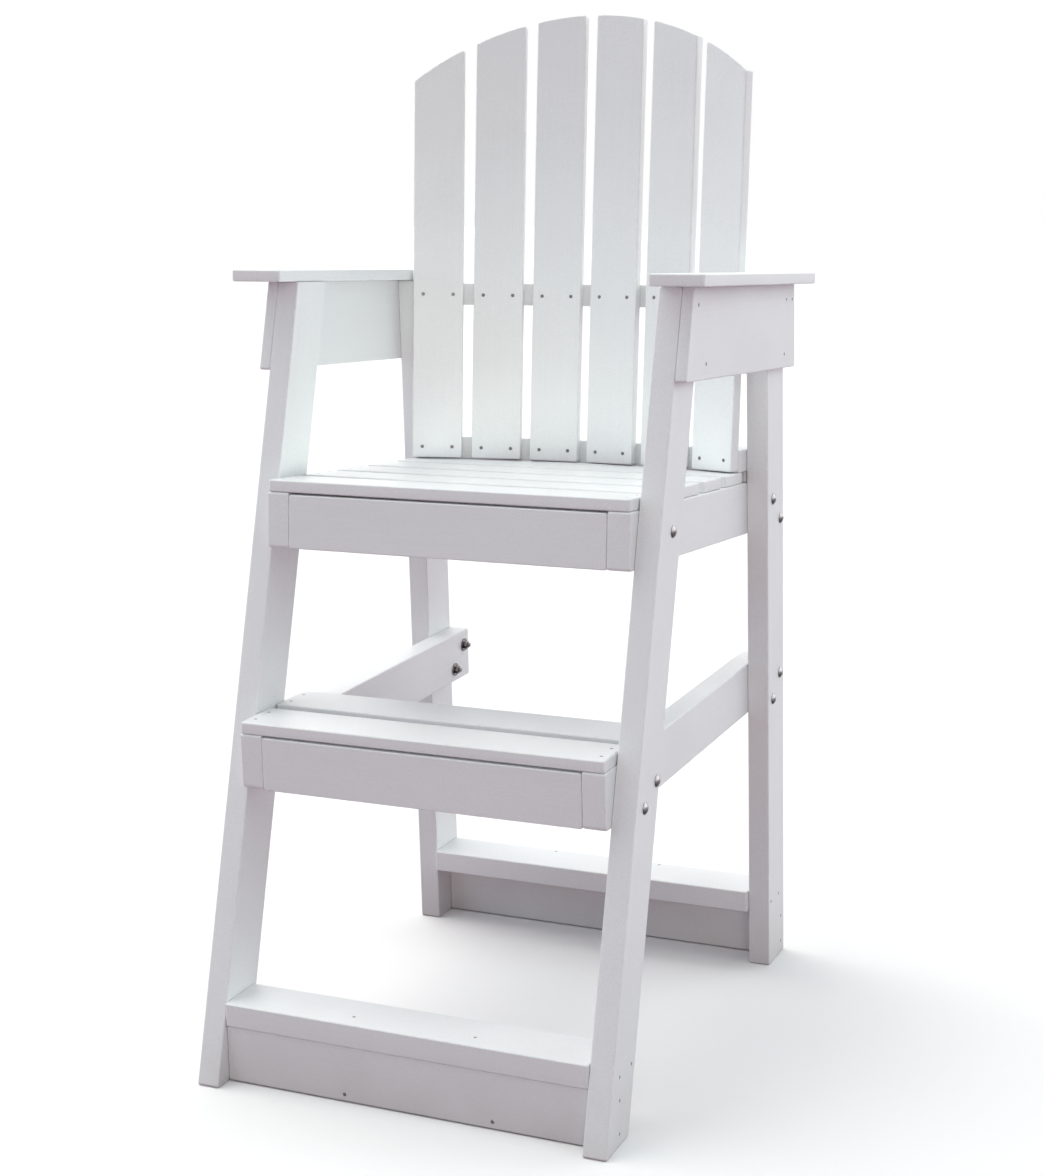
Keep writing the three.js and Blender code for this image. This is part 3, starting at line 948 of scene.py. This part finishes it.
@dataclass
class SubAssembly:
    """A part of the chair that comes off the bench in one piece."""

    name: str
    bolt_sets: BoltSets = field(default_factory=BoltSets)
    screw_heads: ScrewHeads = field(default_factory=ScrewHeads)

    def planks(self) -> list[Plank]:
        """The planks with their screws."""
        raise NotImplementedError

    def bolts(self) -> list[str]:
        """The CAD nodes of the bolts that hold this part."""
        return []

    def build(self, finishes: Finishes) -> None:
        """Build and dress every piece of the part, and report each one.

        Args:
            finishes: The chair's finishes.
        """
        places = {state: FixingPlaces() for state in ScrewState}
        for plank in self.planks():
            piece = plank.build(finishes, places)
            log.info("%s: plank %s, %d screws", self.name, piece.name, len(plank.screws))
        for state, found in places.items():
            if not found.points:
                continue
            name = f"{self.name}_screws_{state.value}"
            heads = self.screw_heads.place(found, name, finishes.screw_steel[state])
            heads.data.set_sharp_from_angle(angle=math.radians(self.screw_heads.crease))
            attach(heads, ROOT)
            log.info("%s: %d screws", heads.name, len(found.points))
        for node in self.bolts():
            self._bolt(node, finishes)

    def _bolt(self, node: str, finishes: Finishes) -> None:
        """Build one bolt set where its CAD node is.

        Args:
            node: The bolt's CAD node.
            finishes: The chair's finishes.
        """
        low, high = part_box(node)
        middle = (low + high) / 2
        outward = Side.RIGHT if low.x > 0 else Side.LEFT
        head_top = high.x if outward is Side.RIGHT else -low.x
        head_base = outward.value * (head_top - self.bolt_sets.head_height)
        places = FixingPlaces()
        places.add(Vector((head_base, middle.y, middle.z)), Vector((outward.value, 0.0, 0.0)))
        bolt = self.bolt_sets.place(places, f"{node}_set", finishes.bolt_steel)
        bolt.data.set_sharp_from_angle(angle=math.radians(self.bolt_sets.crease))
        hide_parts(node)
        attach(bolt, ROOT)
        log.info("%s: bolt %s", self.name, bolt.name)


def seen_from(side: Vector, x: float, y: float, z: float) -> Screw:
    """Make a screw at a point of a plank, seen from the side that the screw's head faces."""
    return Screw(Vector((x, y, z)) + side * REACH, -side)


@dataclass
class SideFrame(SubAssembly):
    """Two legs, an arm and the panel outside them, on one side of the chair."""

    side: Side = Side.LEFT
    # Screws in millimetres behind and above the lowest, foremost corner of their plank's box.
    panel_screws: tuple[tuple[float, float], ...] = (
        (56.6, 144.0), (89.6, 52.0), (505.6, 118.0), (538.0, 116.0), (492.6, 27.0),
    )
    step_screws: tuple[tuple[float, float], ...] = (
        (58.0, 107.0), (57.0, 71.0), (55.0, 19.0), (105.0, 108.0),
    )
    shelf_screws: tuple[tuple[float, float], ...] = (
        (30.0, 117.0), (75.0, 117.0), (89.0, 70.0), (89.0, 22.0),
    )
    # Screws in the arm, from the rear edge of the front leg and from the front edge of the rear leg.
    arm_screw_insets: tuple[float, float] = (24.0 * MM, 62.4 * MM)

    def planks(self) -> list[Plank]:
        """The legs, the arm and the panel of this side.

        Returns:
            The planks with their screws.
        """
        word = self.side.word
        outward = Vector((self.side.value, 0.0, 0.0))
        front, rear = f"front_leg_{word}", f"rear_leg_{word}"
        panel, arm = f"side_panel_{word}", f"arm_{word}"
        planks = []
        for node, screws, state in (
            (front, self.step_screws, ScrewState.DUSTED),
            (rear, self.shelf_screws, ScrewState.DUSTED),
            (panel, self.panel_screws, ScrewState.WEATHERED),
        ):
            low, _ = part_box(node)
            places = [(low.y + y * MM, low.z + z * MM) for y, z in screws]
            planks.append(Plank(node, [seen_from(outward, 0.0, y, z) for y, z in places], state))
        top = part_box(arm)[1].z
        front_low, front_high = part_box(front)
        rear_low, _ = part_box(rear)
        leg_x = (front_low.x + front_high.x) / 2
        near, far = self.arm_screw_insets
        ends = (front_high.y - far, front_high.y - near, rear_low.y + near, rear_low.y + far)
        planks.append(Plank(arm, [seen_from(UP, leg_x, y, top) for y in ends]))
        return planks


@dataclass
class Deck(SubAssembly):
    """Rails, apron and boards of the seat or the footrest, and the bolts through the legs."""

    board_count: int = 6
    screw_inset: float = 14.0 * MM
    screw_share: float = 0.27

    def planks(self) -> list[Plank]:
        """The rails and the apron, then the boards with two screws at each end.

        Returns:
            The planks with their screws.
        """
        planks = [Plank(f"{self.name}_rail_{side.word}") for side in Side]
        planks.append(Plank(f"{self.name}_apron"))
        for number in range(1, self.board_count + 1):
            node = f"{self.name}_board_{number}"
            low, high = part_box(node)
            screws = [
                seen_from(UP, x, low.y + share * (high.y - low.y), high.z)
                for x in (low.x + self.screw_inset, high.x - self.screw_inset)
                for share in (self.screw_share, 1 - self.screw_share)
            ]
            planks.append(Plank(node, screws, ScrewState.DUSTED))
        return planks

    def bolts(self) -> list[str]:
        """Every bolt whose CAD node carries the deck's name."""
        return sorted(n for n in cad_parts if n.startswith(f"bolt_{self.name}_"))


@dataclass
class TreadUnit(SubAssembly):
    """A tread on its riser, between the legs near the floor."""

    tread_screws: tuple[float, float] = (-94.0 * MM, 113.0 * MM)
    tread_screw_setback: float = 30.0 * MM
    riser_screws: tuple[float, float] = (-100.6 * MM, 150.9 * MM)
    riser_screw_height: float = 13.0 * MM
    facing: float = -1.0

    def planks(self) -> list[Plank]:
        """The tread with screws from above, the riser with screws from its outer face.

        Returns:
            The planks with their screws.
        """
        tread, riser = f"{self.name}_tread", f"{self.name}_riser"
        low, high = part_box(tread)
        riser_low, riser_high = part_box(riser)
        riser_middle = (riser_low.y + riser_high.y) / 2
        screw_y = low.y + self.tread_screw_setback if self.facing < 0 else riser_middle
        out = Vector((0.0, self.facing, 0.0))
        height = self.riser_screw_height
        from_above = [seen_from(UP, x, screw_y, high.z) for x in self.tread_screws]
        from_outside = [seen_from(out, x, riser_middle, height) for x in self.riser_screws]
        return [Plank(tread, from_above, ScrewState.DUSTED), Plank(riser, from_outside)]


@dataclass
class Back(SubAssembly):
    """Six slats on a lower and an upper cross rail."""

    slat_count: int = 6
    screw_offset: float = 26.7 * MM
    screw_heights: tuple[float, float] = (19.3 * MM, 291.4 * MM)

    def planks(self) -> list[Plank]:
        """The cross rails, then the slats with two screws into each rail.

        Returns:
            The planks with their screws.
        """
        planks = [Plank("cross_rail_lower"), Plank("cross_rail_upper")]
        for number in range(1, self.slat_count + 1):
            node = f"back_slat_{number}"
            planks.append(Plank(node, self._slat_screws(node)))
        return planks

    def _slat_screws(self, node: str) -> list[Screw]:
        """Set a slat's screws out from its foot and its middle, so that the rows follow the curve.

        Args:
            node: The slat's CAD node.

        Returns:
            The screws.
        """
        axes = self._slat_axes(node)
        places = [axes @ vertex.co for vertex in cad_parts[node].data.vertices]
        middle = (max(p.x for p in places) + min(p.x for p in places)) / 2
        front = min(p.y for p in places)
        foot = min(p.z for p in places)
        starts = [
            Vector((middle + offset, front - REACH, foot + height))
            for height in self.screw_heights
            for offset in (-self.screw_offset, self.screw_offset)
        ]
        return [Screw(axes.transposed() @ start, axes[1].copy()) for start in starts]

    def _slat_axes(self, node: str) -> Matrix:
        """Read a slat's own axes from its broad faces and its sides.

        Args:
            node: The slat's CAD node.

        Returns:
            A matrix with the ways across, through and along the slat as its rows.
        """
        faces = sorted(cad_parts[node].data.polygons, key=lambda face: -face.area)
        through = faces[0].normal.copy()
        if through.y < 0:
            through.negate()
        square = [face.normal.copy() for face in faces if abs(face.normal @ through) < SQUARE_COSINE]
        across = next(normal for normal in square if abs(normal.x) > abs(normal.z))
        if across.x < 0:
            across.negate()
        return Matrix((across, through, across.cross(through)))


@dataclass(frozen=True)
class SoftLamp:
    """A lamp so far away and so broad that it only has a direction, a level and a spread."""

    name: str
    azimuth: float
    elevation: float
    level: float
    colour: str = "#ffffff"
    spread: float = 50.0

    def hang(self) -> None:
        """Add the lamp; azimuth turns from +X towards +Y, and elevation is above the floor."""
        data = bpy.data.lights.new(self.name, "SUN")
        data.energy = self.level
        data.angle = math.radians(self.spread)
        data.color = linear(self.colour)[:3]
        turn, lift = math.radians(self.azimuth), math.radians(self.elevation)
        reach = math.cos(lift)
        towards = Vector((math.cos(turn) * reach, math.sin(turn) * reach, math.sin(lift)))
        lamp = new_object(self.name, data)
        lamp.rotation_euler = towards.to_track_quat("Z", "Y").to_euler()


@dataclass(frozen=True)
class BounceCard:
    """A soft panel that lies on the seat and lights what stands round it, unseen itself."""

    name: str
    middle: tuple[float, float, float]
    size: tuple[float, float]
    tip: float
    level: float
    colour: str = "#ffffff"

    def hang(self) -> None:
        """Add the panel; its level is its radiosity in the units of a white surface's brightness."""
        data = bpy.data.lights.new(self.name, "AREA")
        data.shape = "RECTANGLE"
        data.size, data.size_y = self.size
        data.energy = self.level * math.pi * self.size[0] * self.size[1]
        data.color = linear(self.colour)[:3]
        lamp = new_object(self.name, data)
        lamp.location = self.middle
        lamp.rotation_euler = (math.pi + math.radians(self.tip), 0.0, 0.0)
        lamp.visible_camera = False
        lamp.visible_glossy = False


@dataclass(frozen=True)
class Studio:
    """The camera, the lamps, the world and the pale floor."""

    camera_place: tuple[float, float, float] = (1.401642, -3.034446, 1.457444)
    azimuth: float = 23.715
    elevation: float = 10.664
    roll: float = -1.036
    focal_px: float = 2087.983
    centre_px: tuple[float, float] = (540.267, 532.816)
    image_px: tuple[int, int] = (1044, 1176)
    sensor_mm: float = 36.0
    view_depth: float = 200.0
    floor_colour: str = "#fbfbfb"
    floor_bounce_colour: str = "#8f7180"
    floor_size: float = 60.0
    world_share: float = 0.02
    lamps: tuple[SoftLamp | BounceCard, ...] = (
        SoftLamp("overhead", 0, 90, 1.37, "#f6fcff", 115),
        SoftLamp("high_left", 180, 68, 1.0, "#fff9f4", 40),
        SoftLamp("low_right", 0, 15, 0.73, "#ecfdff"),
        SoftLamp("low_rear_right", 45, 15, 1.12, "#fcffff"),
        SoftLamp("low_rear_left", 135, 15, 1.72, "#fffdfc", 100),
        SoftLamp("low_left", 180, 15, 0.52, "#fff9f2"),
        SoftLamp("low_front_left", 225, 15, 0.62, "#dcf2ff"),
        SoftLamp("camera_side", 295, 11, 0.54, "#fff5ec", 30),
        BounceCard("seat_bounce", (0.0, 0.04, 0.92), (0.57, 0.46), -4.35, 0.78, "#f9fff5"),
    )

    def camera(self) -> None:
        """Stand the camera where the photograph was taken and frame it the same way."""
        turn, tip, roll = (math.radians(a) for a in (self.azimuth, self.elevation, self.roll))
        reach = math.cos(tip)
        forward = Vector((-math.sin(turn) * reach, math.cos(turn) * reach, -math.sin(tip)))
        level = Vector((math.cos(turn), math.sin(turn), 0.0))
        up = level.cross(forward)
        right = level * math.cos(roll) + up * math.sin(roll)
        top = up * math.cos(roll) - level * math.sin(roll)
        width, height = self.image_px
        data = bpy.data.cameras.new("camera")
        data.sensor_width = self.sensor_mm
        data.lens = self.focal_px * self.sensor_mm / height
        data.shift_x = (width / 2 - self.centre_px[0]) / height
        data.shift_y = (self.centre_px[1] - height / 2) / height
        data.clip_end = self.view_depth
        camera = new_object("camera", data)
        turned = Matrix((right, top, -forward)).transposed()
        camera.matrix_world = Matrix.Translation(self.camera_place) @ turned.to_4x4()
        bpy.context.scene.camera = camera

    def light(self) -> None:
        """Hang every lamp."""
        for lamp in self.lamps:
            lamp.hang()

    def _split(self, tree: NodeTree, unseen: NodeSocket, seen: NodeSocket) -> NodeSocket:
        """Show one shader to the camera, gloss and glass, and let another one light the chair.

        Args:
            tree: The node tree that gets the nodes.
            unseen: The shader that only lights.
            seen: The shader that is seen.

        Returns:
            The output that carries both.
        """
        path = add_node(tree, "ShaderNodeLightPath")
        shown = path.outputs["Is Camera Ray"]
        for ray in ("Is Glossy Ray", "Is Transmission Ray"):
            either = add_node(tree, "ShaderNodeMath", {"operation": "MAXIMUM"}, {
                0: shown, 1: path.outputs[ray],
            })
            shown = either.outputs["Value"]
        mixed = add_node(tree, "ShaderNodeMixShader", inputs={0: shown, 1: unseen, 2: seen})
        return mixed.outputs["Shader"]

    def world(self) -> None:
        """Show the camera and the gloss a white surround, and give the rest a faint even light."""
        world = bpy.data.worlds.new("studio")
        world.use_nodes = True
        tree = world.node_tree
        tree.nodes.clear()
        shades = [
            add_node(tree, "ShaderNodeBackground", inputs={"Color": (1, 1, 1, 1), "Strength": strength})
            for strength in (self.world_share, 1.0)
        ]
        surround = self._split(tree, *(shade.outputs["Background"] for shade in shades))
        add_node(tree, "ShaderNodeOutputWorld", inputs={"Surface": surround})
        bpy.context.scene.world = world

    def floor(self) -> None:
        """Lay a plain pale floor that keeps the chair's shadow and throws little light back up."""
        # A matt painted studio floor. The eye gets near white with the chair's soft shadow on it, while
        # the light that it throws back up is as low and as warm as the photograph's undersides show.
        material, tree = new_surface("studio_floor_matt")
        paints = [
            add_node(tree, "ShaderNodeBsdfDiffuse", inputs={"Color": linear(colour)})
            for colour in (self.floor_bounce_colour, self.floor_colour)
        ]
        paint = self._split(tree, *(coat.outputs["BSDF"] for coat in paints))
        add_node(tree, "ShaderNodeOutputMaterial", inputs={"Surface": paint})
        half = self.floor_size / 2
        data = bpy.data.meshes.new("floor")
        corners = [(-half, -half, 0.0), (half, -half, 0.0), (half, half, 0.0), (-half, half, 0.0)]
        data.from_pydata(corners, [], [(0, 1, 2, 3)])
        data.materials.append(material)
        new_object("floor", data)

    def build(self) -> None:
        """Set the studio up."""
        self.camera()
        self.light()
        self.world()
        self.floor()
        bpy.context.scene.view_settings.view_transform = "Standard"


def main() -> None:
    """Build the studio, then the chair in it."""
    logging.basicConfig(level=logging.INFO, format="%(message)s")
    Studio().build()
    finishes = Finishes.build()
    parts: list[SubAssembly] = [
        SideFrame("side_frame_left", side=Side.LEFT),
        SideFrame("side_frame_right", side=Side.RIGHT),
        Deck("seat", board_count=6),
        Deck("footrest", board_count=2),
        TreadUnit("step"),
        TreadUnit("base_shelf", facing=1.0),
        Back("back"),
    ]
    for part in parts:
        part.build(finishes)


if __name__ == "__main__":
    main()
